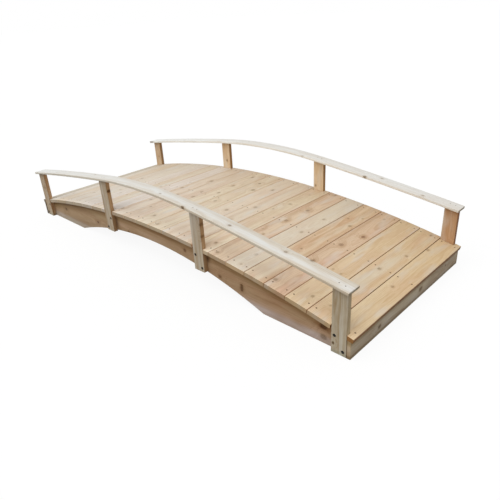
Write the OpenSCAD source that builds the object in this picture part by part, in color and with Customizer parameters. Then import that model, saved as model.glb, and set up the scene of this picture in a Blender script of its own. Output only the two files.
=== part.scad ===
// Arched garden footbridge of cedar boards. Three arched beams stand on flat feet and carry a deck of
// cross planks. Posts outside the outer beams pass through notches in the planks, and a thin handrail
// is bent over the posts on each side. X runs along the bridge, Y across it and Z up, and the origin
// is on the ground under the middle of the bridge.

/* [Width] */
// Width over the outer faces of the posts
bridge_w = 1219; // [900:1:1600]
// How far the plank ends stay behind the outer faces of the posts
plank_setback = 1; // [1:1:15]

/* [Beams] */
// Thickness of a beam
beam_t = 38; // [25:1:60]
// Radius of the arched top edge of the beams
beam_r = 7045; // [6000:1:9000]
// Depth of a beam at its ends
beam_end_h = 106; // [80:1:160]
// Depth of a beam at the middle of the bridge
beam_mid_h = 109; // [80:1:140]
// Distance from the middle of the bridge to the inner corner of a foot
arch_half = 963; // [700:1:1200]
// Thickness of the boards across the ends of the beams
end_board_t = 25; // [18:1:35]

/* [Deck] */
// Number of planks, an even number
plank_count = 22; // [18:2:26]
// Width of a plank
plank_w = 140; // [132:1:160]
// Width of the plank at each end of the deck, ripped narrower to finish it
end_plank_w = 130; // [116:1:160]
// Thickness of a plank
plank_t = 25; // [18:1:40]
// Gap between neighbouring planks where they lie on the beams
plank_gap = 2.6; // [1:0.1:6]
// Radius of the eased long edges of a plank
plank_ease = 3; // [1:0.5:8]

/* [Posts] */
// Width of a post, along the bridge
post_w = 86; // [60:1:94]
// Thickness of a post, across the bridge
post_t = 29; // [20:1:45]
// Radius of the eased upright edges of a post
post_ease = 2.5; // [1:0.5:8]
// Which plank an inner post stands in, counted from the middle
inner_post_plank = 4; // [2:1:7]
// Distance from an inner post to the plank joint on its inner side
inner_post_gap = 11; // [4:1:20]
// Distance from an outer post to the plank joint on its inner side
outer_post_gap = 4.2; // [4:0.2:20]
// Clearance between a post and the plank that is notched round it
notch_gap = 1.5; // [0.5:0.5:6]

/* [Handrails] */
// Width of a handrail
rail_w = 91; // [60:1:120]
// Thickness of a handrail
rail_t = 16; // [10:1:30]
// How far a handrail reaches outside the outer faces of the posts
rail_overhang = 23; // [0:1:40]
// Height of the underside of a handrail over the deck, at the middle of the bridge
rail_clear = 234; // [150:1:400]
// Radius of the bend of a handrail between the inner posts
rail_r = 4360; // [3500:10:6000]
// Radius of its flatter bend from the inner posts to the ends
rail_outer_r = 22700; // [12000:100:40000]
// How far a handrail runs past the outer posts
rail_end_overhang = 13; // [5:1:40]

/* [Hidden] */
// Play under a piece that lies on a curved edge
seat_gap = 0.2;
// Overrun of a cut past the faces that it goes through
overrun = 10;
// Segments of a full circle for the long arcs and for the eased edges
arc_fn = 1440;
ease_fn = 32;
// Steps along each bend of half a handrail
bend_steps = 8;

// Wood tones
deck_colour = "burlywood";
beam_colour = "peru";
post_colour = "tan";
rail_colour = "wheat";

// The deck: planks laid by angle on the arched tops of the beams, at one pitch
plank_l = bridge_w - 2 * plank_setback;
half_count = plank_count / 2;
pitch_angle = (plank_w + plank_gap) / beam_r * 180 / PI;
deck_r = beam_r + seat_gap + plank_t;

// Place of the joint that lies a number of planks away from the middle, on the top of the deck
function joint_x(planks) = deck_r * sin(planks * pitch_angle);

// Width of a plank counted from the middle, and the angle at which its middle lies
function width_of(place) = place == half_count ? end_plank_w : plank_w;
function angle_of(place) = (place - 1) * pitch_angle + (plank_gap + width_of(place)) / 2 / beam_r * 180 / PI;

// The posts stand a little outside the inner joint of the plank that holds them
inner_post_x = joint_x(inner_post_plank - 1) + inner_post_gap + post_w / 2;
outer_post_x = joint_x(half_count - 1) + outer_post_gap + post_w / 2;
post_places = [-outer_post_x, -inner_post_x, inner_post_x, outer_post_x];

// The beams end flush with the outer posts, where the end boards cover them
beam_half = outer_post_x + post_w / 2;
top_centre_z = beam_end_h - sqrt(beam_r ^ 2 - beam_half ^ 2);
beam_crown_z = top_centre_z + beam_r;
arch_rise = beam_crown_z - beam_mid_h;
arch_r = (arch_half ^ 2 + arch_rise ^ 2) / (2 * arch_rise);
arch_centre_z = arch_rise - arch_r;

// Height of the arched underside of the beams
function arch_z(x) = arch_centre_z + sqrt(arch_r ^ 2 - x ^ 2);

// The underside of a handrail: an arc between the inner posts, and a flatter arc tangent to it outside them
deck_crown_z = top_centre_z + deck_r;
rail_centre_z = deck_crown_z + rail_clear - rail_r;
bend_angle = asin(inner_post_x / rail_r);
outer_centre = [0, rail_centre_z] - (rail_outer_r - rail_r) * [sin(bend_angle), cos(bend_angle)];
rail_half = beam_half + rail_end_overhang;
end_angle = asin((rail_half - outer_centre.x) / rail_outer_r);

// Points of half a handrail, from the middle to its right end, at a distance from its underside
function half_rail(rise) = concat(
    [for (step = [0 : bend_steps]) let (angle = bend_angle * step / bend_steps)
        [0, rail_centre_z] + (rail_r + rise) * [sin(angle), cos(angle)]],
    [for (step = [1 : bend_steps]) let (angle = bend_angle + (end_angle - bend_angle) * step / bend_steps)
        outer_centre + (rail_outer_r + rise) * [sin(angle), cos(angle)]]
);

// Points of a whole handrail from its left end to its right end, and the same points from right to left
function rail_line(rise) = let (half = half_rail(rise)) concat(
    [for (place = [len(half) - 1 : -1 : 1]) [-half[place].x, half[place].y]],
    half
);
function turned_round(points) = [for (place = [len(points) - 1 : -1 : 0]) points[place]];

// Height of the underside of a handrail
function rail_z(x) = abs(x) < inner_post_x
    ? rail_centre_z + sqrt(rail_r ^ 2 - x ^ 2)
    : outer_centre.y + sqrt(rail_outer_r ^ 2 - (abs(x) - outer_centre.x) ^ 2);

// Names of the pieces
function plank_name(number) = str("plank_", number < 10 ? "0" : "", number);

// Extrudes a side view, drawn in X and Z, across the bridge from one Y to another
module across(from_y, to_y) {
    translate([0, to_y, 0])
        rotate([90, 0, 0])
            linear_extrude(to_y - from_y)
                children();
}

// Rectangle with eased corners, centred on X, with its lower side on the axis
module eased_section(width, depth, ease) {
    translate([-width / 2, ease])
        square([width, depth - 2 * ease]);
    translate([ease - width / 2, 0])
        square([width - 2 * ease, depth]);
    for (x = [-1, 1] * (width / 2 - ease), y = [ease, depth - ease])
        translate([x, y])
            circle(ease, $fn = ease_fn);
}

// Side view of a beam: arched top, arch below, and a flat foot at each end
module beam_profile() {
    difference() {
        intersection() {
            translate([-beam_half, 0])
                square([2 * beam_half, beam_crown_z + overrun]);
            translate([0, top_centre_z])
                circle(beam_r, $fn = arc_fn);
        }
        translate([0, arch_centre_z])
            circle(arch_r, $fn = arc_fn);
    }
}

module beam(from_y) {
    color(beam_colour)
        across(from_y, from_y + beam_t)
            beam_profile();
}

// Board across one end of the beams and outer posts, with its top bevelled to meet the last plank
module end_board() {
    color(beam_colour)
        across(-bridge_w / 2, bridge_w / 2)
            intersection() {
                translate([beam_half, 0])
                    square([end_board_t, beam_crown_z]);
                translate([0, top_centre_z])
                    circle(beam_r, $fn = arc_fn);
            }
}

// Side view of a handrail, or of a thicker strip on the same underside
module rail_profile(thickness) {
    polygon(concat(rail_line(0), turned_round(rail_line(thickness))));
}

module near_handrail() {
    color(rail_colour)
        across(-bridge_w / 2 - rail_overhang, -bridge_w / 2 - rail_overhang + rail_w)
            rail_profile(rail_t);
}

// Post on the near side, with its top cut to the underside of the handrail
module near_post(x) {
    foot_z = abs(x) == outer_post_x ? 0 : arch_z(x);
    color(post_colour)
        difference() {
            translate([x, -bridge_w / 2, foot_z])
                linear_extrude(rail_z(x) + post_w / 2 - foot_z)
                    eased_section(post_w, post_t, post_ease);
            across(-bridge_w / 2 - overrun, -bridge_w / 2 + post_t + overrun)
                translate([0, -seat_gap])
                    rail_profile(post_w);
        }
}

// Room for the right-hand posts of one pair in a plank: open towards the plank's inner joint
module post_notches(x, joint_gap) {
    notch_w = overrun + joint_gap + post_w + notch_gap;
    notch_depth = post_t + notch_gap + overrun;
    for (side = [0, 1])
        mirror([0, side, 0])
            translate([x + post_w / 2 + notch_gap - notch_w, -bridge_w / 2 - overrun, 0])
                cube([notch_w, notch_depth, deck_crown_z + overrun]);
}

// Plank of the right half of the deck, counted from the middle
module right_plank(place) {
    color(deck_colour)
        difference() {
            translate([0, 0, top_centre_z])
                rotate([0, angle_of(place), 0])
                    translate([0, 0, beam_r + seat_gap])
                        across(-plank_l / 2, plank_l / 2)
                            eased_section(width_of(place), plank_t, plank_ease);
            if (place == inner_post_plank)
                post_notches(inner_post_x, inner_post_gap);
            if (place == half_count)
                post_notches(outer_post_x, outer_post_gap);
        }
}

// Plank counted from the left end: the left half mirrors the right half
module plank(number) {
    if (number > half_count)
        right_plank(number - half_count);
    else
        mirror([1, 0, 0])
            right_plank(half_count + 1 - number);
}

beam(-bridge_w / 2 + post_t);  // near_beam
beam(-beam_t / 2);  // middle_beam
beam(bridge_w / 2 - post_t - beam_t);  // far_beam
mirror([1, 0, 0]) end_board();  // left_end_board
end_board();  // right_end_board
for (number = [1 : len(post_places)])
    near_post(post_places[number - 1]);
for (number = [1 : len(post_places)])
    mirror([0, 1, 0]) near_post(post_places[number - 1]);
near_handrail();
mirror([0, 1, 0]) near_handrail();  // far_handrail
for (number = [1 : plank_count])
    plank(number);
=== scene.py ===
"""Looks of an arched garden footbridge of cedar boards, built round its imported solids."""

import math
from typing import NamedTuple

import bmesh
import bpy
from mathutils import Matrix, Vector


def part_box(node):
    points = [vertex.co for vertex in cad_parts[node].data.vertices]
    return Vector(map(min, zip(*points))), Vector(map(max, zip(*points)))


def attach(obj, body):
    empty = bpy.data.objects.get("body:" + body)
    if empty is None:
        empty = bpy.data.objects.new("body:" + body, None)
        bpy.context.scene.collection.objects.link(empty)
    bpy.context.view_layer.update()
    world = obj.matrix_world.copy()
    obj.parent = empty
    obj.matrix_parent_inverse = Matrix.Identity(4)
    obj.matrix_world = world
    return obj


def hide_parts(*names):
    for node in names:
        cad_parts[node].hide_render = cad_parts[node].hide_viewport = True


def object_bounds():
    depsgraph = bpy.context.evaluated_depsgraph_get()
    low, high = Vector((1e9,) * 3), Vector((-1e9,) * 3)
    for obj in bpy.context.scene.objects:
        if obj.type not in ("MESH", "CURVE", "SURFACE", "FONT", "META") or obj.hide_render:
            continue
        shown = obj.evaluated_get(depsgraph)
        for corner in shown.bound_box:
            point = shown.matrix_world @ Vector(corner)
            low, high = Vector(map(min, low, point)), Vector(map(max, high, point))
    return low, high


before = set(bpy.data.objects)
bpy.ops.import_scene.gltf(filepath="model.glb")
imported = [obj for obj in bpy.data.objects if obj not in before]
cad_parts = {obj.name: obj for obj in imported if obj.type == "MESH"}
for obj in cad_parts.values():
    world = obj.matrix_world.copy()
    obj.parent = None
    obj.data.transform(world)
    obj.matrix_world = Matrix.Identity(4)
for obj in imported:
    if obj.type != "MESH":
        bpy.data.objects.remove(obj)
cad_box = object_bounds()

MM = 0.001
SIDE_X = Vector((1, 0, 0))
SIDE_Y = Vector((0, 1, 0))
UP = Vector((0, 0, 1))
LEFT_X, RIGHT_X = (corner[0] for corner in cad_box)

# The camera stands off the near right corner, about as high as an eye; its turns are in degrees
CAMERA_PLACE = (2.4825, -2.1959, 1.5193)
CAMERA_TURN = (63.191, 2.945, 43.183)
CAMERA_LENS = 34.779
CAMERA_SENSOR = 36

# Light on the bridge: a white sky, and a wide soft light from high on the near side. The floor looks pale,
# but throws back little light
WHITE = (1, 1, 1, 1)
SKY_LIGHT = 0.65
KEY_FROM = (-0.15, -0.56, 0.82)
KEY_WIDTH = math.radians(65)
KEY_POWER = 1.44
FLOOR_SIZE = 120
FLOOR_DROP = 0.2 * MM
FLOOR_BOUNCE = (84, 70, 52)
FLOOR_TONE = (84, 84, 84)
FLOOR_GLOW = 0.915

# Boards: the angles that tell flat, bent and sharp faces apart, and in how many steps and how wide
# the edges are eased
MERGE_DISTANCE = 0.01 * MM
FLAT_ANGLE = math.radians(0.3)
SHARP_ANGLE = math.radians(30)
BENT_ANGLE = math.radians(20)
EASE_STEPS = 3
SAWN_EASE = 0.8 * MM
POST_EASE = 2.0 * MM
RAIL_EASE = 2.2 * MM
BEAM_EASE = 1.6 * MM

# A face whose normal leans this far along its board is a cut end, and one that leans this far up is a top
END_LEAN = 0.7
TOP_LEAN = 0.9

# Every board has a number, which gives it a pith and a stretch of grain of its own; planks begin at 1
FIRST_BEAM = 31
FIRST_END_BOARD = 41
FIRST_POST = 51
NEAR_RAIL_NUMBER = 71
FAR_RAIL_NUMBER = 72
GRAIN_STEP = (3.1, 0.7, 0.37)
PITH_DEPTH = 75 * MM
PITH_SWAY = 30 * MM
PITH_TURNS = (2.4, 1.7)

# Grain of the cedar: width of a year's ring, of a streak and of a fibre, the detail in streaks and fibres,
# how often a streak changes in a metre, and how far rings and bands wander
RING_W = 4.2 * MM
STREAK_W = 17 * MM
FIBRE_W = 1.6 * MM
FINE_DETAIL = 3.0
STREAK_CHANGES = 0.35
RING_WANDER = 35 * MM
BAND_WANDER = 50 * MM

# Knots: how much longer than wide they are, how uneven, and how far the rings bend round them
KNOT_LENGTHENING = 1.35
KNOT_UNEVEN = 0.5
KNOT_BEND = 1.6

# Sizes of the spots that come by chance in a board, in metres along it, across it and into it
WANDER_SPOT = (0.75, 0.16, 0.16)
FIBRE_SPOT = (0.11, FIBRE_W, FIBRE_W)
BLUSH_SPOT = (0.42, 0.09, 0.09)
MOTTLE_SPOT = (0.045, 0.011, 0.011)
PATCH_SPOT = (0.24, 0.06, 0.06)
BAND_SPOT = (0.3, 0.12, 0.12)
KNOT_SPOT = (0.011, 0.007, 0.02)

# Where each of these begins to show and where it shows in full: by chance for streaks, blushes, patches
# and bands, by half sizes for the ends and sides of a band, by radii for a knot, and by its share of a ring
# for late wood
STREAK_SHOWS = (0.3, 0.72)
BLUSH_SHOWS = (0.42, 0.68)
PATCH_SHOWS = (0.5, 0.75)
BAND_SHOWS = (0.3, 0.55)
BAND_ENDS = (1.2, 0.6)
BAND_SIDES = (1.35, 0.4)
KNOT_HEART = (1.2, 0.5)
KNOT_HALO = (2.2, 0.7)
KNOT_SWELL = (4.5, 0.3)
LATE_RISE = (0.25, 0.9)
LATE_FALL = (1.0, 0.92)

# How dark the parts of the grain are, and how much of that is left in pale wood and lost on cut ends
DARK_START = -0.08
DARK_STREAK = 0.55
DARK_MOTTLE = 0.5
DARK_LATE = 0.28
DARK_FIBRE = 0.7
DARK_IN_PALE = 0.45
DARK_LOST_ON_ENDS = 0.6

# Weathered patches lie apart from the blushed ones. Dark grain is bleached, and takes the painted sheen of
# the left end, less than light grain
PATCH_SHIFT = (5.3, 2.1, 1.7)
PATCH_SHARE = 0.45
BLEACH_AND_SHEEN_START = 1.2
BLEACH_AND_SHEEN_LOST_IN_DARK = 0.5

# Roughness and relief of the cedar
ROUGH_START = 0.46
ROUGH_FIBRE = 0.24
ROUGH_END = 0.15
RELIEF_FIBRE = 0.55
RELIEF_LATE = 0.35
RELIEF_KNOT = -0.6
RELIEF_STRENGTH = 0.45
RELIEF_DEPTH = 0.5 * MM
WOOD_SHINE = 0.15

# Painted light: the near end of the planks is painted lighter, from the first of these places to the second,
# in metres
NEAR_END_LIGHT_REACH = (-0.22, -0.46)

# Painted shade in the corners beside the posts and on the tip of the far handrail. Where an end board meets
# the posts, its cut ends are painted as dark, as painted shade in the seam, this far from its back
CORNER_SHADE_TINT = (105, 75, 52)
SEAM_SHADE_REACH = 7 * MM

# Painted shade: beams and end boards are painted a deeper brown under the overhang of the planks, down to
# these depths and in full down to a share of them. Close below the planks of the left part the shade is
# painted twice
BEAM_SHADE_DEPTH = 78 * MM
END_BOARD_SHADE_DEPTH = 40 * MM
CLOSE_SHADE_DEPTH = 36 * MM
FULL_SHADE_SHARE = 0.4
LEFT_PART = (0.62, 0.74)
OVERHANG_SHADE_TINT = (222, 214, 194)

# Coats of the metal, and its scuffs: their size, detail and where they show, how dark they are and how uneven
# the gloss is
BRONZE = (140, 108, 78)
BLACK = (38, 36, 34)
ZINC = (150, 141, 126)
SCUFF_SPOT = (1.5 * MM, 1.5 * MM, 1.5 * MM)
SCUFF_DETAIL = 4.0
SCUFF_SHOWS = (0.35, 0.75)
SCUFF_SHARES = (0.8, 0.8, 0.8)
SCUFF_ROUGH = 0.3

# Places of the screws and bolts: from the edges of a plank, the middle of a post and its foot
DECK_SCREW_EDGE = 22 * MM
RAIL_SCREW_SPREAD = 17 * MM
BOLT_SPREAD = 25 * MM
BOLT_LOW = 25 * MM
BOLT_HIGH = 101 * MM

# Sides of the round seats and heads, and the star recess: its points and the share of its inner radius
SEAT_SIDES = 24
STAR_POINTS = 6
STAR_WAIST = 0.68


class Fastener(NamedTuple):
    """Sizes of a screw or bolt head and of the seat that is drilled for it, in millimetres."""

    head_radius: float
    neck_radius: float
    head_height: float
    star_radius: float
    star_depth: float
    sunk: float
    mouth_radius: float
    seat_radius: float
    seat_depth: float


DECK_SCREW = Fastener(head_radius=4.5, neck_radius=2.7, head_height=2.4, star_radius=2.1, star_depth=1.4,
                      sunk=0.4, mouth_radius=5.3, seat_radius=4.5, seat_depth=3.0)
RAIL_SCREW = Fastener(head_radius=3.4, neck_radius=2.2, head_height=1.8, star_radius=1.7, star_depth=1.1,
                      sunk=0.5, mouth_radius=3.9, seat_radius=3.4, seat_depth=2.4)
POST_BOLT = Fastener(head_radius=8.2, neck_radius=8.2, head_height=4.2, star_radius=3.4, star_depth=2.4,
                     sunk=1.0, mouth_radius=10.4, seat_radius=9.8, seat_depth=5.4)


class Fixing(NamedTuple):
    """Where a screw or bolt enters a board, and the way that the board faces there."""

    place: Vector
    facing: Vector


class Tone(NamedTuple):
    """Colours of a board, as sRGB from 0 to 255: its wood, the blushed and pale parts, and the colour of its
    bleached patches, which also pales the left end as a painted sheen, with how strong that sheen is. The
    narrow sides (edge), the cut ends and the foot, up to a height in millimetres, have tints that are
    multiplied with the wood and lighten it where they are over 255; on the sides and at the foot they are
    partly painted light and shade. Contrast is that of the grain, then come the share of red, green and blue
    lost over a metre of length, a painted shading that is lighter towards the near end, how much lighter the
    near end is painted as painted light, and how dark the cut ends are painted at the posts, as painted shade
    in the seam."""

    wood: tuple
    blush: tuple = (210, 170, 140)
    pale: tuple = (219, 207, 183)
    edge: tuple = (208, 164, 124)
    contrast: float = 1
    bleached: tuple = (213, 206, 196)
    bleach: float = 0.5
    painted_falloff: tuple = (0, 0, 0)
    end: tuple = (211, 203, 189)
    sunned: float = 0
    foot: tuple = (233, 238, 236)
    foot_height: float = 26
    seam: float = 0


class Knot(NamedTuple):
    """A knot on a board's face: place from the board's middle and radius in millimetres, and darkness."""

    along: float
    across: float
    radius: float
    darkness: float = 0.5


class Band(NamedTuple):
    """A band of pale sapwood or of painted shade: place and half width across the board in millimetres, its
    strength, and its place and half length along the board."""

    across: float
    half_width: float
    strength: float
    along: float = 0
    half_length: float = 2000


class Look(NamedTuple):
    """How one board looks: its tone, knots, bands of pale sapwood, strength of blush, and bands of painted
    shade.
    """

    tone: Tone
    knots: tuple = ()
    bands: tuple = ()
    blush: float = 0.5
    shade_marks: tuple = ()


# Tones of the planks. They are painted a little lighter and less yellow towards the near side and darker
# towards the far side, as painted light and shade across the deck. Where their side tints are over 255 they
# are painted light in the joints
PLANK_PAINTED_FALLOFF = (0.12, 0.17, 0.25)
HONEY = Tone((216, 192, 154), contrast=1.2, painted_falloff=PLANK_PAINTED_FALLOFF, sunned=0.09)
AMBER = HONEY._replace(wood=(214, 187, 151), blush=(206, 160, 122), edge=(220, 180, 142), contrast=1.8)
ROSE = HONEY._replace(wood=(210, 184, 151), edge=(244, 212, 180), contrast=1.9)
PEACH = HONEY._replace(wood=(216, 196, 169), blush=(212, 180, 152), edge=(282, 270, 252), contrast=1.5)
STRAW = HONEY._replace(wood=(219, 202, 171), edge=(276, 260, 240), contrast=1.5)
CREAM = HONEY._replace(wood=(220, 207, 185), blush=(214, 188, 164), edge=(276, 262, 244), contrast=1.5)
PEARL = HONEY._replace(wood=(228, 219, 209), blush=(220, 202, 186), edge=(280, 268, 254), contrast=1.5)
CINNAMON = ROSE._replace(wood=(207, 178, 145))
BUTTER = CREAM._replace(edge=(212, 178, 140), end=(224, 204, 176))
# The near end of this plank is painted lighter still, as painted light beside the post that shades it
WHEAT = STRAW._replace(edge=(226, 192, 156), sunned=0.24)
TOFFEE = HONEY._replace(edge=(153, 115, 64), end=(174, 142, 107))
DUNE = TOFFEE._replace(wood=(191, 176, 150), bleached=(193, 187, 174), end=(172, 162, 150))

# Tones of the beams, the end boards, the handrails, the near posts and the far posts, in this order. The
# beams' foot tint is painted bounce light from the floor, the end boards are darker at the foot, and side
# tints over 255 are painted light
RUSSET = Tone((177, 144, 110), (166, 124, 90), (210, 179, 153), (205, 185, 165), contrast=3.2,
              bleached=(182, 158, 123), bleach=0.6, foot=(273, 294, 332), foot_height=60)
DRIFTWOOD = Tone((181, 164, 137), (176, 150, 120), (212, 198, 172), (225, 215, 200), contrast=2.8, bleach=0,
                 end=(251, 243, 235), foot=(204, 197, 183), seam=0.7)
SLATE = DRIFTWOOD._replace(end=(165, 160, 150))
SILVER = Tone((218, 214, 206), (215, 206, 195), (226, 224, 218), (272, 270, 266),
              bleached=(228, 229, 226), bleach=0.9)
IVORY = Tone((212, 203, 186), (209, 194, 174), (230, 229, 225), (255, 249, 238), contrast=1.6,
             bleached=(225, 226, 223), bleach=0.9)
BEIGE = Tone((196, 183, 158), (192, 166, 136), (212, 205, 189), (250, 222, 194), contrast=2.4, bleach=0)
ASH = Tone((200, 191, 167), (196, 176, 147), (216, 210, 193), (255, 250, 236), contrast=2.4, bleach=0)
GOLDEN = Tone((226, 203, 168), (217, 183, 144), edge=(205, 180, 150), contrast=1.4, bleach=0)
TAWNY = Tone((213, 188, 155), (204, 169, 133), edge=(205, 180, 150), contrast=1.4, bleach=0)
COPPER = Tone((196, 157, 119), (186, 137, 96), (214, 196, 170), (195, 165, 135), contrast=1.4, bleach=0)

# Late wood and knots are darker than the tone of their board, and early wood is lighter
LATE_SHARES = (0.91, 0.85, 0.77)
EARLY_SHARES = (1.02, 1.025, 1.035)
HALO_SHARE = 0.6
HALO_TINT = (220, 205, 190)
KNOT_TINTS = ((182, 170, 152), (138, 124, 104))

# The planks from the left end of the bridge to the right
PLANKS = (
    Look(DUNE, (Knot(-310, 12, 10),), blush=0.2),
    Look(CREAM, (Knot(-420, -8, 9),)),
    Look(HONEY, (Knot(52, 26, 8, 0.3), Knot(560, 50, 8, 0.3)), blush=0.3),
    Look(CREAM, (Knot(72, 32, 13), Knot(-370, -25, 10))),
    Look(CREAM, (Knot(-240, 30, 11, 0.3),), (Band(0, 50, 0.4),), 0.2),
    Look(PEARL, (Knot(-300, -10, 10, 0.3),), (Band(-10, 55, 0.3),)),
    Look(STRAW, (Knot(-308, -48, 9, 0.4), Knot(-48, 42, 9, 0.3)), (Band(20, 40, 0.5),)),
    Look(PEARL, (Knot(-176, 58, 9, 0.4), Knot(-88, 6, 9, 0.3), Knot(136, 46, 9, 0.3)), blush=0.6),
    Look(PEACH, (Knot(-527, -58, 11), Knot(-300, -32, 10), Knot(12, -42, 11), Knot(240, 46, 14, 0.6),
                 Knot(-120, 58, 9, 0.4), Knot(552, 10, 9, 0.3))),
    Look(PEACH, (Knot(-396, -43, 9), Knot(22, 31, 11, 0.4), Knot(-89, 62, 11, 0.4)), blush=0.6),
    Look(STRAW, (Knot(-488, -18, 11, 0.45), Knot(76, 17, 12, 0.6), Knot(248, -3, 12, 0.45),
                 Knot(481, -18, 11))),
    Look(STRAW, (Knot(-562, -27, 10), Knot(-55, -25, 12), Knot(403, -13, 12, 0.6), Knot(268, 44, 15, 0.6))),
    Look(PEACH, (Knot(-121, 15, 13), Knot(357, 18, 12, 0.55)),
         (Band(0, 60, 0.5, 580, 260), Band(-30, 25, 0.4, -160, 260))),
    Look(PEACH, (Knot(38, -8, 13, 0.45), Knot(-221, 3, 11, 0.6), Knot(-524, -6, 9, 0.4),
                 Knot(-552, 34, 9, 0.4)), (Band(8, 34, 0.4),), 0.6),
    Look(WHEAT, (Knot(239, -8, 11, 0.45), Knot(-496, 21, 9, 0.6), Knot(100, -43, 8, 0.45),
                 Knot(460, -6, 8, 0.3))),
    Look(ROSE, (Knot(-568, -32, 10, 0.55), Knot(23, -10, 13, 0.55), Knot(241, 0, 13, 0.55),
                Knot(588, -14, 10, 0.4), Knot(-168, -42, 8, 0.3), Knot(-220, 10, 8, 0.3)), blush=0.6),
    Look(BUTTER, (Knot(-428, -1, 9, 0.35), Knot(-31, 15, 11, 0.45), Knot(212, 12, 10, 0.4),
                  Knot(-564, 6, 8, 0.3)), (Band(0, 70, 0.5),)),
    Look(AMBER, (Knot(-188, -6, 7, 0.6), Knot(261, 37, 9), Knot(412, 38, 7, 0.3), Knot(340, -26, 7, 0.3)),
         (Band(0, 70, 0.6, -480, 260), Band(18, 20, 0.5, 190, 300)), 0.8),
    Look(CINNAMON, (Knot(-536, -51, 11), Knot(-240, -25, 12, 0.6), Knot(27, -14, 14, 0.55), Knot(208, 28, 14),
                    Knot(512, -2, 8, 0.3)), blush=0.95),
    Look(HONEY, (Knot(-502, 27, 9), Knot(-224, -42, 7, 0.35), Knot(-228, 14, 7, 0.35)), blush=0.3),
    Look(HONEY, (Knot(-492, -10, 8, 0.35), Knot(-17, -13, 11, 0.55), Knot(225, 29, 9),
                 Knot(569, 18, 9, 0.55)), (Band(-6, 34, 0.7, -60, 330), Band(30, 16, 0.4, 380, 200))),
    Look(TOFFEE, (Knot(-104, -18, 9), Knot(393, -58, 10)), blush=0.3),
)

# The other boards. Along and across are measured on the face that looks out from the bridge,
# and on a handrail's top
NEAR_BEAM = Look(
    RUSSET,
    (Knot(-1211, -30, 15, 0.7), Knot(-714, -19, 10, 0.8), Knot(-297, 17, 9, 0.8), Knot(321, 62, 11, 0.8),
     Knot(627, -15, 11, 0.8), Knot(803, -42, 9, 0.9), Knot(803, -31, 10, 0.95), Knot(804, -20, 10, 0.95),
     Knot(804, -9, 9, 0.9), Knot(1361, -36, 19, 1), Knot(1363, -98, 16, 0.6)),
    (Band(-96, 42, 0.8, 1090, 340), Band(-70, 44, 0.8, -690, 170), Band(-92, 36, 0.7, -1390, 130),
     Band(44, 20, 0.6, -200, 330), Band(84, 10, 0.5, 40, 500)),
    blush=0.6,
    # Painted shade in the corners beside two posts, under the planks
    shade_marks=(Band(62, 36, 1.6, 500, 56), Band(55, 40, 0.55, -480, 80)),
)
MIDDLE_BEAM = Look(
    RUSSET,
    (Knot(-940, -20, 12), Knot(-120, 40, 11), Knot(620, 20, 13)),
    (Band(-90, 40, 0.5),),
)
FAR_BEAM = Look(
    RUSSET,
    (Knot(-1130, -30, 12), Knot(-520, 30, 10), Knot(210, 60, 12), Knot(860, -10, 13)),
    (Band(-85, 40, 0.7),),
    blush=0.6,
)
BEAMS = {"near_beam": NEAR_BEAM, "middle_beam": MIDDLE_BEAM, "far_beam": FAR_BEAM}
RIGHT_END_BOARD = Look(
    DRIFTWOOD,
    (Knot(-344, -6, 13, 0.95), Knot(106, -1, 17, 0.9), Knot(430, 10, 8, 0.7)),
    # Its pale band along the middle is painted light, between the painted shade under the planks and the
    # darker foot
    (Band(14, 28, 0.9),),
    blush=0.8,
)
LEFT_END_BOARD = Look(SLATE, (Knot(-260, 8, 11, 0.8), Knot(190, -12, 10, 0.8)), blush=0.6)
NEAR_POSTS = (
    Look(BEIGE, (Knot(60, 12, 7),), blush=0.6),
    Look(BEIGE, (Knot(112, 54, 9, 1),), (Band(-10, 14, 0.6), Band(22, 10, 0.5, -60, 90))),
    Look(BEIGE, (Knot(117, 45, 8, 0.6), Knot(43, 45, 7, 0.5)), (Band(2, 9, 0.8),), 0.3),
    Look(ASH, (Knot(-133, -30, 7, 1),), (Band(13, 9, 0.9),), 0.2),
)
FAR_POSTS = (
    Look(TAWNY, (Knot(40, 10, 7),), blush=0.6),
    Look(GOLDEN, (Knot(33, 8, 8, 0.7),), blush=0.8),
    Look(GOLDEN, (Knot(-5, -24, 8, 0.6),), blush=0.3),
    Look(COPPER, (Knot(-60, 18, 7),), (Band(-46, 16, 1),), 0.9),
)
NEAR_RAIL = Look(
    IVORY,
    (Knot(-1180, 10, 8), Knot(-640, -22, 7), Knot(173, 12, 7, 0.6), Knot(419, 47, 10, 0.9),
     Knot(758, 8, 9, 0.7), Knot(1129, -8, 9, 0.6), Knot(1262, -47, 10, 0.8)),
    (Band(5, 20, 0.7), Band(20, 36, 0.9, 1530, 70)),
    blush=0.6,
)
FAR_RAIL = Look(
    SILVER,
    # Its first knot and the dark band at its left tip are painted shade
    (Knot(-1528, -40, 11, 0.7), Knot(-1010, -18, 8), Knot(-220, 12, 7), Knot(365, -46, 8, 0.3),
     Knot(887, -45, 10, 0.9), Knot(983, 12, 9), Knot(1288, -21, 8)),
    (Band(-8, 20, 0.5),),
    shade_marks=(Band(-52, 26, 0.6, -1512, 56),),
)


def shaded(colour, shares):
    """A colour with a share of each of its channels."""
    return tuple(channel * share for channel, share in zip(colour, shares))


def linear(colour):
    """An sRGB colour from 0 to 255 as the renderer's linear colour."""
    shares = [channel / 255 for channel in colour]
    return tuple(s / 12.92 if s <= 0.04045 else ((s + 0.055) / 1.055) ** 2.4 for s in shares) + (1.0,)


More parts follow.
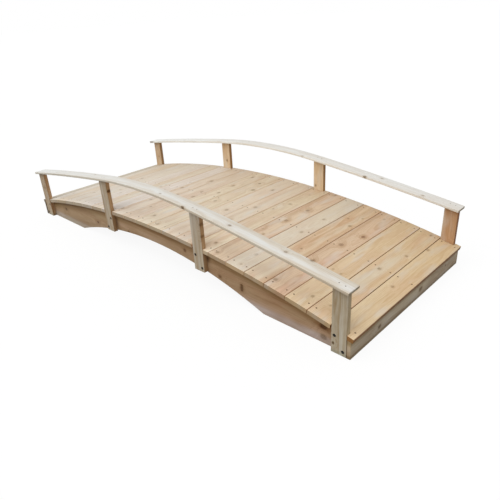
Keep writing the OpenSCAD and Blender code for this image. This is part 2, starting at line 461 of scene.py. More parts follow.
class Wiring:
    """Adds nodes to a tree and links them. What feeds an input is another node's output or a constant."""

    def __init__(self, tree):
        self.tree = tree

    def node(self, kind, settings=(), inputs=()):
        node = self.tree.nodes.new(kind)
        for name, value in dict(settings).items():
            setattr(node, name, value)
        for key, value in dict(inputs).items():
            self.feed(node.inputs[key], value)
        return node

    def feed(self, socket, value):
        if isinstance(value, bpy.types.NodeSocket):
            self.tree.links.new(value, socket)
        else:
            socket.default_value = value

    def math(self, operation, *values, clamp=False):
        settings = {"operation": operation, "use_clamp": clamp}
        return self.node("ShaderNodeMath", settings, enumerate(values)).outputs[0]

    def vector(self, operation, *values):
        return self.node("ShaderNodeVectorMath", {"operation": operation}, enumerate(values)).outputs[0]

    def scaled(self, vector, share):
        inputs = {0: vector, "Scale": share}
        return self.node("ShaderNodeVectorMath", {"operation": "SCALE"}, inputs).outputs[0]

    def length(self, vector):
        return self.node("ShaderNodeVectorMath", {"operation": "LENGTH"}, {0: vector}).outputs["Value"]

    def dot(self, first, second):
        settings = {"operation": "DOT_PRODUCT"}
        return self.node("ShaderNodeVectorMath", settings, {0: first, 1: second}).outputs["Value"]

    def noise(self, vector, stretch, detail=2.0):
        """Noise from 0 to 1 whose spots are as long as the three lengths of stretch, in metres."""
        inputs = {"Vector": self.vector("DIVIDE", vector, stretch), "Scale": 1.0, "Detail": detail}
        return self.node("ShaderNodeTexNoise", inputs=inputs).outputs["Fac"]

    def fade(self, value, start, end):
        """A smooth rise from 0 where the value is start to 1 where it is end."""
        inputs = {"Value": value, "From Min": start, "From Max": end}
        return self.node("ShaderNodeMapRange", {"interpolation_type": "SMOOTHSTEP"}, inputs).outputs[0]

    def mix(self, share, first, second, blend="MIX"):
        settings = {"data_type": "RGBA", "blend_type": blend}
        return self.node("ShaderNodeMix", settings, {0: share, 6: first, 7: second}).outputs[2]

    def attribute(self, name, output="Fac"):
        return self.node("ShaderNodeAttribute", {"attribute_name": name}).outputs[output]

    def parts(self, vector):
        """The three parts of a vector."""
        return self.node("ShaderNodeSeparateXYZ", inputs={0: vector}).outputs

    def joined(self, *parts):
        """A vector of three parts."""
        return self.node("ShaderNodeCombineXYZ", inputs=enumerate(parts)).outputs[0]


def cleared(owner):
    """The wiring of a new material or world."""
    owner.use_nodes = True
    owner.node_tree.nodes.clear()
    return Wiring(owner.node_tree)


def new_object(name, data):
    thing = bpy.data.objects.new(name, data)
    bpy.context.scene.collection.objects.link(thing)
    return thing


def new_group(name, kind, inputs, outputs):
    """An empty node group, its wiring, and the outputs of its input node by name."""
    tree = bpy.data.node_groups.new(name, kind)
    for label, socket in inputs.items():
        tree.interface.new_socket(label, in_out="INPUT", socket_type="NodeSocket" + socket)
    for label, socket in outputs.items():
        tree.interface.new_socket(label, in_out="OUTPUT", socket_type="NodeSocket" + socket)
    wires = Wiring(tree)
    return tree, wires, wires.node("NodeGroupInput").outputs


def knot_group():
    """Adds one knot, the foot of a branch that leaves the pith, to those before it in a board."""
    inputs = {"Grain": "Vector", "Foot": "Vector", "Branch": "Vector", "Radius": "Float", "Darkness": "Float",
              "Heart": "Float", "Halo": "Float", "Swell": "Float"}
    tree, wires, given = new_group("cedar_knot", "ShaderNodeTree", inputs,
                                   {"Heart": "Float", "Halo": "Float", "Swell": "Float"})
    from_foot = wires.vector("SUBTRACT", given["Grain"], given["Foot"])
    outward = wires.dot(from_foot, given["Branch"])
    aside = wires.vector("SUBTRACT", from_foot, wires.scaled(given["Branch"], outward))
    rounded = wires.vector("DIVIDE", aside, (KNOT_LENGTHENING, 1, 1))
    chance = wires.noise(given["Grain"], KNOT_SPOT)
    wobble = wires.math("MULTIPLY_ADD", chance, KNOT_UNEVEN, 1 - KNOT_UNEVEN / 2)
    away = wires.math("DIVIDE", wires.length(rounded), wires.math("MULTIPLY", given["Radius"], wobble))
    outside = wires.math("GREATER_THAN", outward, 0)
    shown = wires.math("MULTIPLY", outside, given["Darkness"])
    heart = wires.math("MULTIPLY", shown, wires.fade(away, *KNOT_HEART))
    halo = wires.math("MULTIPLY", shown, wires.fade(away, *KNOT_HALO))
    swell = wires.math("MULTIPLY", wires.fade(away, *KNOT_SWELL), given["Radius"])
    swell = wires.math("MULTIPLY", swell, KNOT_BEND)
    results = {
        "Heart": wires.math("MAXIMUM", heart, given["Heart"]),
        "Halo": wires.math("MAXIMUM", halo, given["Halo"]),
        "Swell": wires.math("ADD", wires.math("MULTIPLY", outside, swell), given["Swell"]),
    }
    wires.node("NodeGroupOutput", inputs=results)
    return tree


def band_group():
    """Adds one band, with wandering edges, to those before it in a board."""
    inputs = {"Grain": "Vector", "Seed": "Vector", "Place": "Vector", "Reach": "Vector", "Strength": "Float",
              "Share": "Float"}
    tree, wires, given = new_group("wood_band", "ShaderNodeTree", inputs, {"Share": "Float"})
    spot = wires.vector("ADD", given["Grain"], given["Seed"])
    wander = wires.math("SUBTRACT", wires.noise(spot, WANDER_SPOT), 0.5)
    wandered = wires.vector("ADD", given["Grain"], wires.scaled((0, BAND_WANDER, 0), wander))
    off_band = wires.vector("DIVIDE", wires.vector("SUBTRACT", wandered, given["Place"]), given["Reach"])
    along, across, _ = wires.parts(wires.vector("ABSOLUTE", off_band))
    in_band = wires.math("MULTIPLY", wires.fade(along, *BAND_ENDS), wires.fade(across, *BAND_SIDES))
    in_band = wires.math("MULTIPLY", in_band, wires.fade(wires.noise(spot, BAND_SPOT), *BAND_SHOWS))
    share = wires.math("MULTIPLY", in_band, given["Strength"])
    wires.node("NodeGroupOutput", inputs={0: wires.math("MAXIMUM", share, given["Share"])})
    return tree


def cedar_group():
    """Cedar: year rings round the pith, streaks, fibres, sapwood, patches, knots and cut ends, with painted
    light and shade.
    """
    inputs = {"Grain": "Vector", "Seed": "Vector", "Pith": "Vector", "Light": "Color", "Dark": "Color",
              "Blush": "Color", "Blush Share": "Float", "Pale": "Color", "Pale Share": "Float",
              "Heart": "Float", "Halo": "Float", "Swell": "Float", "Cut End": "Float", "End Tint": "Color",
              "Edge": "Float", "Edge Tint": "Color", "Left Sheen": "Float", "Bleached And Sheen": "Color",
              "Painted Falloff": "Vector", "Near End Light": "Float", "Foot": "Float", "Foot Tint": "Color",
              "Overhang Shade": "Float", "Close Shade": "Float", "Shade Mark": "Float"}
    tree, wires, given = new_group("cedar", "ShaderNodeTree", inputs,
                                   {"Color": "Color", "Roughness": "Float", "Height": "Float"})
    spot = wires.vector("ADD", given["Grain"], given["Seed"])
    wander = wires.math("SUBTRACT", wires.noise(spot, WANDER_SPOT), 0.5)
    from_pith = wires.vector("SUBTRACT", given["Grain"], given["Pith"])
    flat_pith = wires.vector("MULTIPLY", from_pith, (0, 1, 1))
    radius = wires.math("MULTIPLY_ADD", wander, RING_WANDER, wires.length(flat_pith))
    radius = wires.math("ADD", radius, given["Swell"])
    ring = wires.math("FRACT", wires.math("DIVIDE", radius, RING_W))
    late = wires.math("MULTIPLY", wires.fade(ring, *LATE_RISE), wires.fade(ring, *LATE_FALL))
    streak_place = wires.joined(
        wires.math("DIVIDE", radius, STREAK_W),
        wires.dot(spot, (STREAK_CHANGES, 0, 0)),
        wires.dot(given["Seed"], (1, 1, 1)),
    )
    streak = wires.fade(wires.noise(streak_place, (1, 1, 1), FINE_DETAIL), *STREAK_SHOWS)
    fibre = wires.noise(spot, FIBRE_SPOT, FINE_DETAIL)
    mottle = wires.noise(spot, MOTTLE_SPOT)
    blotch = wires.noise(spot, BLUSH_SPOT)

    dark = wires.math("MULTIPLY_ADD", streak, DARK_STREAK, DARK_START)
    dark = wires.math("MULTIPLY_ADD", wires.math("SUBTRACT", mottle, 0.5), DARK_MOTTLE, dark)
    dark = wires.math("MULTIPLY_ADD", late, DARK_LATE, dark)
    dark = wires.math("MULTIPLY_ADD", wires.math("SUBTRACT", fibre, 0.5), DARK_FIBRE, dark, clamp=True)
    dark = wires.math("MULTIPLY", dark, wires.math("MULTIPLY_ADD", given["Cut End"], -DARK_LOST_ON_ENDS, 1.0))
    wood = wires.mix(dark, given["Light"], given["Dark"])
    blushing = wires.math("MULTIPLY", wires.fade(blotch, *BLUSH_SHOWS), given["Blush Share"])
    wood = wires.mix(blushing, wood, wires.mix(dark, given["Blush"], given["Dark"]))
    pale = wires.mix(wires.math("MULTIPLY", dark, DARK_IN_PALE), given["Pale"], given["Dark"])
    wood = wires.mix(given["Pale Share"], wood, pale)

    patch = wires.fade(wires.noise(wires.vector("ADD", spot, PATCH_SHIFT), PATCH_SPOT), *PATCH_SHOWS)
    # Bleached patches, and a painted sheen that pales the left end of the bridge, both in the bleached colour
    bleach_and_sheen = wires.math("MULTIPLY_ADD", patch, PATCH_SHARE, given["Left Sheen"])
    open_wood = wires.math("MULTIPLY_ADD", dark, -BLEACH_AND_SHEEN_LOST_IN_DARK, BLEACH_AND_SHEEN_START, clamp=True)
    wood = wires.mix(wires.math("MULTIPLY", bleach_and_sheen, open_wood), wood, given["Bleached And Sheen"])
    # Painted light and shade along the board: lighter towards one end and darker towards the other
    along, _, _ = wires.parts(given["Grain"])
    kept = wires.vector("SUBTRACT", (1, 1, 1), wires.scaled(given["Painted Falloff"], along))
    wood = wires.vector("MULTIPLY", wood, kept)
    # Painted light that lightens the near end of a plank
    gain = wires.math("MULTIPLY_ADD", wires.fade(along, *NEAR_END_LIGHT_REACH), given["Near End Light"], 1.0)
    wood = wires.scaled(wood, gain)

    halo = wires.math("MULTIPLY", given["Halo"], HALO_SHARE)
    wood = wires.mix(halo, wood, linear(HALO_TINT), "MULTIPLY")
    knot_tint = wires.mix(late, *(linear(tint) for tint in KNOT_TINTS))
    wood = wires.mix(given["Heart"], wood, knot_tint, "MULTIPLY")
    # Tints of the sides, the cut ends and the foot; on the sides and at the foot they are partly painted
    # light and shade
    wood = wires.mix(given["Edge"], wood, given["Edge Tint"], "MULTIPLY")
    wood = wires.mix(given["Cut End"], wood, given["End Tint"], "MULTIPLY")
    wood = wires.mix(given["Foot"], wood, given["Foot Tint"], "MULTIPLY")
    # Painted shade in corners, in the seams at the posts and at the tip of the far handrail
    wood = wires.mix(given["Shade Mark"], wood, linear(CORNER_SHADE_TINT), "MULTIPLY")
    # Painted shade under the overhang of the planks, and twice close below those of the left part
    for overhang_shade in (given["Overhang Shade"], given["Close Shade"]):
        wood = wires.mix(overhang_shade, wood, linear(OVERHANG_SHADE_TINT), "MULTIPLY")

    rough = wires.math("MULTIPLY_ADD", fibre, ROUGH_FIBRE, ROUGH_START)
    rough = wires.math("MULTIPLY_ADD", given["Cut End"], ROUGH_END, rough)
    height = wires.math("MULTIPLY_ADD", fibre, RELIEF_FIBRE, wires.math("MULTIPLY", late, RELIEF_LATE))
    height = wires.math("MULTIPLY_ADD", given["Heart"], RELIEF_KNOT, height)
    wires.node("NodeGroupOutput", inputs={"Color": wood, "Roughness": rough, "Height": height})
    return tree


CEDAR_KNOT = knot_group()
WOOD_BAND = band_group()
CEDAR = cedar_group()


def banded(wires, grain, seed, bands):
    """How strongly the bands of a board show at a place."""
    share = 0.0
    for band in bands:
        inputs = {"Grain": grain, "Seed": seed, "Place": (band.along * MM, band.across * MM, 0),
                  "Reach": (band.half_length * MM, band.half_width * MM, 1), "Strength": band.strength,
                  "Share": share}
        share = wires.node("ShaderNodeGroup", {"node_tree": WOOD_BAND}, inputs).outputs[0]
    return share


def knotted(wires, grain, pith, half_thickness, knots):
    """The heart, the halo and the swelling that the knots of a board give a place."""
    state = {"Heart": 0.0, "Halo": 0.0, "Swell": 0.0}
    for knot in knots:
        foot = Vector((knot.along * MM, pith.y, pith.z))
        face_point = Vector((knot.along * MM, knot.across * MM, half_thickness))
        inputs = {"Grain": grain, "Foot": foot, "Branch": (face_point - foot).normalized(),
                  "Radius": knot.radius * MM, "Darkness": knot.darkness, **state}
        added = wires.node("ShaderNodeGroup", {"node_tree": CEDAR_KNOT}, inputs)
        state = {label: added.outputs[label] for label in state}
    return state


def painted_overhang_shade(wires, x, height, leftness, top):
    """How much painted shade a place of a board gets under the planks, and close below those of the left
    part.
    """
    if not top:
        return 0.0, 0.0
    crown, fall, reach = top
    fallen = wires.math("MULTIPLY", wires.math("MULTIPLY", x, x), fall)
    depth = wires.math("SUBTRACT", wires.math("SUBTRACT", crown, fallen), height)
    close = wires.fade(depth, CLOSE_SHADE_DEPTH, FULL_SHADE_SHARE * CLOSE_SHADE_DEPTH)
    close = wires.math("MULTIPLY", close, wires.fade(leftness, *LEFT_PART))
    return wires.fade(depth, reach, FULL_SHADE_SHARE * reach), close


def cedar(name, look, number, half_thickness, top=None):
    """The material of one board, with the number that gives it its own grain. A board with painted shade
    under
    the planks has a top: its height in the middle, its fall at a metre from there, and the depth to which the
    shade is painted."""
    material = bpy.data.materials.new(name + "_cedar")
    wires = cleared(material)
    tone = look.tone
    grain = wires.attribute("grain", "Vector")
    cut_end = wires.attribute("cut_end")
    leftness = wires.attribute("leftness")
    x, _, height = wires.parts(wires.node("ShaderNodeTexCoord").outputs["Object"])
    # Painted shade under the planks
    overhang_shade, close_overhang_shade = painted_overhang_shade(wires, x, height, leftness, top)

    # The pith lies below the outer face, now to one side and now to the other
    sway, sink = (PITH_SWAY * math.sin(number * turn) for turn in PITH_TURNS)
    pith = Vector((0, sway, -PITH_DEPTH - sink))
    seed = tuple(number * step for step in GRAIN_STEP)
    # Bands of painted shade, and painted shade in the seam where the cut ends meet the posts
    shade_mark = banded(wires, grain, seed, look.shade_marks)
    if tone.seam:
        _, _, out = wires.parts(grain)
        at_back = wires.fade(out, SEAM_SHADE_REACH - half_thickness, SEAM_SHADE_REACH / 2 - half_thickness)
        shade_mark = wires.math("MULTIPLY", wires.math("MULTIPLY", cut_end, at_back), tone.seam)
    foot_height = tone.foot_height * MM
    wood = wires.node("ShaderNodeGroup", {"node_tree": CEDAR}, {
        "Grain": grain,
        "Seed": seed,
        "Pith": pith,
        "Light": linear(shaded(tone.wood, [share ** tone.contrast for share in EARLY_SHARES])),
        "Dark": linear(shaded(tone.wood, [share ** tone.contrast for share in LATE_SHARES])),
        "Blush": linear(tone.blush),
        "Blush Share": look.blush,
        "Pale": linear(tone.pale),
        "Pale Share": banded(wires, grain, seed, look.bands),
        "Shade Mark": shade_mark,
        "Cut End": cut_end,
        "End Tint": linear(tone.end),
        "Edge": wires.attribute("edge"),
        "Edge Tint": linear(tone.edge),
        "Left Sheen": wires.math("MULTIPLY", leftness, tone.bleach),
        "Bleached And Sheen": linear(tone.bleached),
        "Painted Falloff": tone.painted_falloff,
        "Near End Light": tone.sunned,
        "Foot": wires.fade(height, foot_height, foot_height / 2),
        "Foot Tint": linear(tone.foot),
        "Overhang Shade": overhang_shade,
        "Close Shade": close_overhang_shade,
        **knotted(wires, grain, pith, half_thickness, look.knots),
    })
    relief = wires.node("ShaderNodeBump", inputs={
        "Strength": RELIEF_STRENGTH, "Distance": RELIEF_DEPTH, "Height": wood.outputs["Height"]})
    shader = wires.node("ShaderNodeBsdfPrincipled", inputs={
        "Base Color": wood.outputs["Color"],
        "Roughness": wood.outputs["Roughness"],
        "Normal": relief.outputs[0],
        "Specular IOR Level": WOOD_SHINE,
    })
    wires.node("ShaderNodeOutputMaterial", inputs={"Surface": shader.outputs[0]})
    return material


def eased_copy(node, ease, bent=False):
    """A piece with a node's shape: triangles joined into whole faces, and sharp edges eased."""
    shape = bmesh.new()
    shape.from_mesh(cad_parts[node].data)
    bmesh.ops.remove_doubles(shape, verts=shape.verts, dist=MERGE_DISTANCE)
    bmesh.ops.dissolve_limit(shape, angle_limit=FLAT_ANGLE, verts=shape.verts, edges=shape.edges)
    sharp = [edge for edge in shape.edges if edge.calc_face_angle(0) > SHARP_ANGLE]
    bmesh.ops.bevel(shape, geom=sharp, offset=ease, segments=EASE_STEPS, profile=0.5, affect="EDGES",
                    clamp_overlap=False)
    mesh = bpy.data.meshes.new(node + "_board")
    shape.to_mesh(mesh)
    shape.free()
    if bent:
        mesh.shade_smooth()
        mesh.set_sharp_from_angle(angle=BENT_ANGLE)
    else:
        mesh.shade_flat()
    return new_object(mesh.name, mesh)


def mark_grain(piece, points, along, face):
    """Stores where every vertex lies in its board and on the bridge, and which faces are ends and sides."""
    mesh = piece.data
    grain = mesh.attributes.new("grain", "FLOAT_VECTOR", "POINT")
    grain.data.foreach_set("vector", [share for point in points for share in point])
    leftness = mesh.attributes.new("leftness", "FLOAT", "POINT")
    length = RIGHT_X - LEFT_X
    leftness.data.foreach_set("value", [(RIGHT_X - vertex.co.x) / length for vertex in mesh.vertices])
    ends = [abs(side.normal.dot(along)) > END_LEAN for side in mesh.polygons]
    slants = [1 - abs(side.normal.dot(face)) for side in mesh.polygons]
    cut_end = mesh.attributes.new("cut_end", "FLOAT", "FACE")
    cut_end.data.foreach_set("value", ends)
    edge = mesh.attributes.new("edge", "FLOAT", "FACE")
    edge.data.foreach_set("value", [0 if end else slant for end, slant in zip(ends, slants)])


def drill(piece, fastener, fixings):
    """Cuts the seats of its fasteners into a board."""
    shape = bmesh.new()
    for fixing in fixings:
        deep = fastener.seat_depth * MM
        turn = fixing.facing.to_track_quat("Z", "Y").to_matrix().to_4x4()
        made = bmesh.ops.create_cone(
            shape, cap_ends=True, segments=SEAT_SIDES, radius1=fastener.seat_radius * MM,
            radius2=fastener.mouth_radius * MM, depth=2 * deep, matrix=turn)
        bmesh.ops.translate(shape, verts=made["verts"], vec=fixing.place)
    mesh = bpy.data.meshes.new("seats")
    shape.to_mesh(mesh)
    shape.free()
    seats = new_object("seats", mesh)
    cut = piece.modifiers.new("seats", "BOOLEAN")
    cut.object = seats
    cut.solver = "EXACT"
    bake(piece)
    bpy.data.objects.remove(seats)


def bake(piece):
    """Turns a piece and its modifiers into a plain mesh."""
    evaluated = piece.evaluated_get(bpy.context.evaluated_depsgraph_get())
    mesh = bpy.data.meshes.new_from_object(evaluated)
    piece.modifiers.clear()
    piece.data = mesh


def straight_points(piece, axes):
    """Places along, across and out of a straight board, from its middle."""
    places = [[vertex.co.dot(axis) for axis in axes] for vertex in piece.data.vertices]
    middles = [(min(column) + max(column)) / 2 for column in zip(*places)]
    return [[place - middle for place, middle in zip(row, middles)] for row in places]


def finish_board(piece, node, look, number, points, top=None):
    """Gives a board its cedar and puts it in the place of its node."""
    half_thickness = max(point[2] for point in points)
    piece.data.materials.append(cedar(node, look, number, half_thickness, top))
    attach(piece, "root")
    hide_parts(node)


def straight_board(node, look, number, axes, ease, bent=False, seats=None, top=None):
    """A board whose axes run along it, across it and out of the face that its look describes."""
    piece = eased_copy(node, ease, bent)
    if seats:
        drill(piece, *seats)
    along, _, face = axes
    points = straight_points(piece, axes)
    mark_grain(piece, points, along, face)
    finish_board(piece, node, look, number, points, top)


def plank_names():
    return sorted(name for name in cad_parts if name.startswith("plank_"))


def plank_axes(node):
    """Axes of a plank, which lies aslant on the arch."""
    top = max(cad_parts[node].data.polygons, key=lambda side: side.area * side.normal.z)
    return SIDE_Y, SIDE_Y.cross(top.normal), top.normal.copy()


def deck_fixings(node):
    """Two screws where a plank crosses every beam, one near each of its edges."""
    along, across, face = plank_axes(node)
    corners = [vertex.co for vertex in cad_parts[node].data.vertices]
    reach = [corner.dot(across) for corner in corners]
    top = max(corner.dot(face) for corner in corners)
    rows = [sum(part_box(beam), Vector()).y / 2 for beam in ("near_beam", "middle_beam", "far_beam")]
    sides = (min(reach) + DECK_SCREW_EDGE, max(reach) - DECK_SCREW_EDGE)
    return [Fixing(across * side + along * row + face * top, face) for row in rows for side in sides]


def bolt_fixings(node):
    """Two bolts in the outer face of a post, the upper one nearer to the middle of the bridge."""
    low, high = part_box(node)
    middle = (low + high) / 2
    outward = math.copysign(1, middle.y)
    away = math.copysign(1, middle.x)
    face_y = high.y if outward > 0 else low.y
    places = ((-away * BOLT_SPREAD, BOLT_HIGH), (away * BOLT_SPREAD, BOLT_LOW))
    return [Fixing(Vector((middle.x + x, face_y, low.z + z)), SIDE_Y * outward) for x, z in places]


def rail_fixings(node):
    """Two screws through a handrail into the top of every post."""
    height = rail_top_height(node)
    side = node.split("_")[0]
    fixings = []
    for number in range(1, len(NEAR_POSTS) + 1):
        middle = sum(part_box(f"{side}_post_{number}"), Vector()) / 2
        for x in (middle.x - RAIL_SCREW_SPREAD, middle.x + RAIL_SCREW_SPREAD):
            fall = height(x - RAIL_SCREW_SPREAD) - height(x + RAIL_SCREW_SPREAD)
            facing = Vector((fall, 0, 2 * RAIL_SCREW_SPREAD)).normalized()
            fixings.append(Fixing(Vector((x, middle.y, height(x))), facing))
    return fixings


def make_deck():
    for number, (node, look) in enumerate(zip(plank_names(), PLANKS), 1):
        straight_board(node, look, number, plank_axes(node), SAWN_EASE,
                       seats=(DECK_SCREW, deck_fixings(node)))


def arched_top(node):
    """The height of a beam's arched top at its middle, its fall at a metre from there, and the depth of its
    painted shade.
    """
    half_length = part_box(node)[1].x
    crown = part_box(node)[1].z
    corners = [vertex.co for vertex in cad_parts[node].data.vertices]
    end_z = max(corner.z for corner in corners if corner.x > half_length - MERGE_DISTANCE)
    return crown, (crown - end_z) / half_length ** 2, BEAM_SHADE_DEPTH


def make_beams():
    for number, (node, look) in enumerate(BEAMS.items(), FIRST_BEAM):
        face = SIDE_Y if node == "far_beam" else -SIDE_Y
        straight_board(node, look, number, (SIDE_X, UP, face), BEAM_EASE, bent=True,
                       top=arched_top(node))


def make_end_boards():
    looks = {"right_end_board": RIGHT_END_BOARD, "left_end_board": LEFT_END_BOARD}
    for number, (node, look) in enumerate(looks.items(), FIRST_END_BOARD):
        face = SIDE_X if node == "right_end_board" else -SIDE_X
        straight_board(node, look, number, (SIDE_Y, UP, face), POST_EASE,
                       top=(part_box(node)[1].z, 0, END_BOARD_SHADE_DEPTH))


def make_posts():
    """Makes all posts and gives their names."""
    looks = {f"near_post_{place}": look for place, look in enumerate(NEAR_POSTS, 1)}
    looks |= {f"far_post_{place}": look for place, look in enumerate(FAR_POSTS, 1)}
    for number, (node, look) in enumerate(looks.items(), FIRST_POST):
        straight_board(node, look, number, (UP, SIDE_X, -SIDE_Y), POST_EASE,
                       seats=(POST_BOLT, bolt_fixings(node)))
    return list(looks)


def rail_top_height(node):
    """A function that gives the height of the top of a bent handrail at any place along the bridge."""
    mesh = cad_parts[node].data
    upward = [face for face in mesh.polygons if face.normal.z > TOP_LEAN]
    line = sorted({(mesh.vertices[i].co.x, mesh.vertices[i].co.z) for face in upward for i in face.vertices})

    def height(x):
        for (left_x, left_z), (right_x, right_z) in zip(line, line[1:]):
            if x <= right_x and right_x > left_x:
                return left_z + (right_z - left_z) * (x - left_x) / (right_x - left_x)
        return line[-1][1]

    return height


def make_handrail(node, look, number, outward):
    """A bent handrail. Outward is 1 on the far side of the bridge and -1 on the near side."""
    piece = eased_copy(node, RAIL_EASE, bent=True)
    drill(piece, RAIL_SCREW, rail_fixings(node))
    low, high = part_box(node)
    middle_y = (low.y + high.y) / 2
    top_z = rail_top_height(node)
    points = [[v.co.x, (v.co.y - middle_y) * outward, v.co.z - top_z(v.co.x)] for v in piece.data.vertices]
    mark_grain(piece, points, SIDE_X, UP)
    finish_board(piece, node, look, number, points)


def metal(name, colour, roughness, metallic=0.75):
    """Coated steel with scuffs."""
    material = bpy.data.materials.new(name)
    wires = cleared(material)
    scuff = wires.noise(wires.node("ShaderNodeTexCoord").outputs["Object"], SCUFF_SPOT, SCUFF_DETAIL)
    clean = wires.fade(scuff, *SCUFF_SHOWS)
    shader = wires.node("ShaderNodeBsdfPrincipled", inputs={
        "Base Color": wires.mix(clean, linear(shaded(colour, SCUFF_SHARES)), linear(colour)),
        "Roughness": wires.math("MULTIPLY_ADD", scuff, SCUFF_ROUGH, roughness - SCUFF_ROUGH / 2),
        "Metallic": metallic,
    })
    wires.node("ShaderNodeOutputMaterial", inputs={"Surface": shader.outputs[0]})
    return material


def head_tree():
    """Heads on the points of a mesh: tapering, with a star recess, each turned by a chance of its own."""
    inputs = {"Geometry": "Geometry", "Head Radius": "Float", "Neck Radius": "Float", "Head Height": "Float",
              "Star Radius": "Float", "Star Depth": "Float", "Material": "Material", "Seed": "Int"}
    tree, wires, given = new_group("fastener_heads", "GeometryNodeTree", inputs, {"Geometry": "Geometry"})

    def down(depth):
        return wires.joined(0.0, 0.0, wires.math("MULTIPLY", depth, -1))

    def lowered(geometry, depth):
        inputs = {"Geometry": geometry, "Translation": down(depth)}
        return wires.node("GeometryNodeTransform", inputs=inputs).outputs[0]

    def filled(*curves):
        joined = wires.node("GeometryNodeJoinGeometry")
        for curve in curves:
            wires.tree.links.new(curve, joined.inputs[0])
        return wires.node("GeometryNodeFillCurve", inputs={0: joined.outputs[0]}).outputs[0]

    def ring(radius):
        return wires.node("GeometryNodeCurvePrimitiveCircle", inputs={
            "Resolution": SEAT_SIDES, "Radius": radius}).outputs[0]

    star = wires.node("GeometryNodeCurveStar", inputs={
        "Points": STAR_POINTS, "Inner Radius": wires.math("MULTIPLY", given["Star Radius"], STAR_WAIST),
        "Outer Radius": given["Star Radius"]}).outputs[0]
    walls = wires.node("GeometryNodeExtrudeMesh", {"mode": "EDGES"}, {
        "Mesh": wires.node("GeometryNodeCurveToMesh", inputs={0: star}).outputs[0],
        "Offset": down(given["Star Depth"]),
        "Offset Scale": 1.0}).outputs[0]
    taper = wires.node("GeometryNodeMeshCone", {"fill_type": "NONE"}, {
        "Vertices": SEAT_SIDES, "Radius Top": given["Head Radius"], "Radius Bottom": given["Neck Radius"],
        "Depth": given["Head Height"]}).outputs[0]
    parts = wires.node("GeometryNodeJoinGeometry")
    for part in (
        filled(ring(given["Head Radius"]), star),
        lowered(filled(star), given["Star Depth"]),
        walls,
        lowered(taper, given["Head Height"]),
        lowered(filled(ring(given["Neck Radius"])), given["Head Height"]),
    ):
        tree.links.new(part, parts.inputs[0])
    head = wires.node("GeometryNodeMergeByDistance", inputs={
        "Geometry": parts.outputs[0], "Distance": MERGE_DISTANCE}).outputs[0]
    facing = wires.node("GeometryNodeInputNamedAttribute", {"data_type": "FLOAT_VECTOR"}, {"Name": "facing"})
    upright = wires.node("FunctionNodeAlignRotationToVector", {"axis": "Z"}, {"Vector": facing.outputs[0]})
    chance = wires.node("FunctionNodeRandomValue", {"data_type": "FLOAT"}, {
        "Seed": given["Seed"], "Max": math.tau})
    spin = wires.joined(0.0, 0.0, chance.outputs[1])
    turned = wires.node("FunctionNodeRotateRotation", {"rotation_space": "LOCAL"}, {
        0: upright.outputs[0], 1: spin}).outputs[0]
    placed = wires.node("GeometryNodeInstanceOnPoints", inputs={
        "Points": given["Geometry"], "Instance": head, "Rotation": turned}).outputs[0]
    whole = wires.node("GeometryNodeRealizeInstances", inputs={0: placed}).outputs[0]
    painted = wires.node("GeometryNodeSetMaterial", inputs={"Geometry": whole, "Material": given["Material"]})
    wires.node("NodeGroupOutput", inputs={0: painted.outputs[0]})
    return tree


HEADS = head_tree()


def make_heads(name, fastener, fixings, material, seed):
    """The heads of all fasteners of one kind, as one mesh."""
    points = [fixing.place - fixing.facing * fastener.sunk * MM for fixing in fixings]
    mesh = bpy.data.meshes.new(name)
    mesh.from_pydata(points, [], [])
    facing = mesh.attributes.new("facing", "FLOAT_VECTOR", "POINT")
    facing.data.foreach_set("vector", [share for fixing in fixings for share in fixing.facing])
    piece = new_object(name, mesh)
    modifier = piece.modifiers.new("heads", "NODES")
    modifier.node_group = HEADS
    values = {"Head Radius": fastener.head_radius * MM, "Neck Radius": fastener.neck_radius * MM,
              "Head Height": fastener.head_height * MM, "Star Radius": fastener.star_radius * MM,
              "Star Depth": fastener.star_depth * MM, "Material": material, "Seed": seed}
    for socket in HEADS.interface.items_tree:
        if socket.in_out == "INPUT" and socket.name in values:
            modifier[socket.identifier] = values[socket.name]
    bake(piece)
    shape = bmesh.new()
    shape.from_mesh(piece.data)
    bmesh.ops.recalc_face_normals(shape, faces=shape.faces)
    shape.to_mesh(piece.data)
    shape.free()
    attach(piece, "root")


def make_fasteners(posts):
    """Makes the heads of all screws and bolts."""
    bronze = metal("bronze_coated_steel", BRONZE, roughness=0.55, metallic=0.4)
    black = metal("black_steel", BLACK, roughness=0.42)
    zinc = metal("dull_zinc_steel", ZINC, roughness=0.48)
    in_deck = [fixing for node in plank_names() for fixing in deck_fixings(node)]
    in_rails = rail_fixings("near_handrail") + rail_fixings("far_handrail")
    in_posts = [fixing for node in posts for fixing in bolt_fixings(node)]
    make_heads("deck_screws", DECK_SCREW, in_deck, bronze, seed=3)
    make_heads("handrail_screws", RAIL_SCREW, in_rails, zinc, seed=5)
    make_heads("post_bolts", POST_BOLT, in_posts, black, seed=7)


def white_for_camera(wires, lit, seen):
    """One shader for light that falls on the bridge, and another for what the camera and shiny metal see."""
    path = wires.node("ShaderNodeLightPath").outputs
    shown = wires.math("MAXIMUM", path["Is Camera Ray"], path["Is Glossy Ray"])
    return wires.node("ShaderNodeMixShader", inputs={0: shown, 1: lit, 2: seen}).outputs[0]


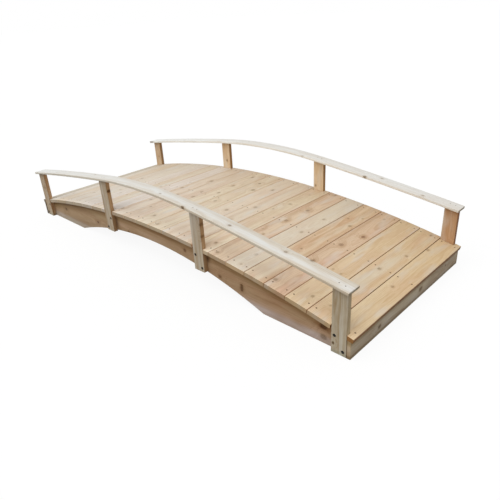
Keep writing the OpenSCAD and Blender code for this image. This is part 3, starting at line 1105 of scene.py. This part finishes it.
def make_floor():
    bpy.ops.mesh.primitive_plane_add(size=FLOOR_SIZE, location=(0, 0, -FLOOR_DROP))
    floor = bpy.context.object
    floor.name = "studio_floor"
    material = bpy.data.materials.new("studio_floor")
    wires = cleared(material)
    lit = wires.node("ShaderNodeBsdfDiffuse", inputs={"Color": linear(FLOOR_BOUNCE)}).outputs[0]
    shade = wires.node("ShaderNodeBsdfDiffuse", inputs={"Color": linear(FLOOR_TONE)}).outputs[0]
    glow = wires.node("ShaderNodeEmission", inputs={"Strength": FLOOR_GLOW}).outputs[0]
    seen = wires.node("ShaderNodeAddShader", inputs={0: shade, 1: glow}).outputs[0]
    surface = white_for_camera(wires, lit, seen)
    wires.node("ShaderNodeOutputMaterial", inputs={"Surface": surface})
    floor.data.materials.append(material)


def make_light():
    world = bpy.data.worlds.new("studio_sky")
    bpy.context.scene.world = world
    wires = cleared(world)
    lit = wires.node("ShaderNodeBackground", inputs={"Color": WHITE, "Strength": SKY_LIGHT}).outputs[0]
    seen = wires.node("ShaderNodeBackground", inputs={"Color": WHITE, "Strength": 1.0}).outputs[0]
    wires.node("ShaderNodeOutputWorld", inputs={"Surface": white_for_camera(wires, lit, seen)})

    lamp = bpy.data.lights.new("key_light", "SUN")
    lamp.energy = KEY_POWER
    lamp.angle = KEY_WIDTH
    key = new_object("key_light", lamp)
    key.rotation_euler = Vector(KEY_FROM).to_track_quat("Z", "Y").to_euler()


def make_camera():
    lens = bpy.data.cameras.new("camera")
    lens.lens = CAMERA_LENS
    lens.sensor_width = CAMERA_SENSOR
    camera = new_object("camera", lens)
    camera.location = CAMERA_PLACE
    camera.rotation_euler = [math.radians(turn) for turn in CAMERA_TURN]
    bpy.context.scene.camera = camera


bpy.context.scene.view_settings.view_transform = "Standard"
make_deck()
make_beams()
make_end_boards()
posts = make_posts()
make_handrail("near_handrail", NEAR_RAIL, NEAR_RAIL_NUMBER, outward=-1)
make_handrail("far_handrail", FAR_RAIL, FAR_RAIL_NUMBER, outward=1)
make_fasteners(posts)
make_floor()
make_light()
make_camera()
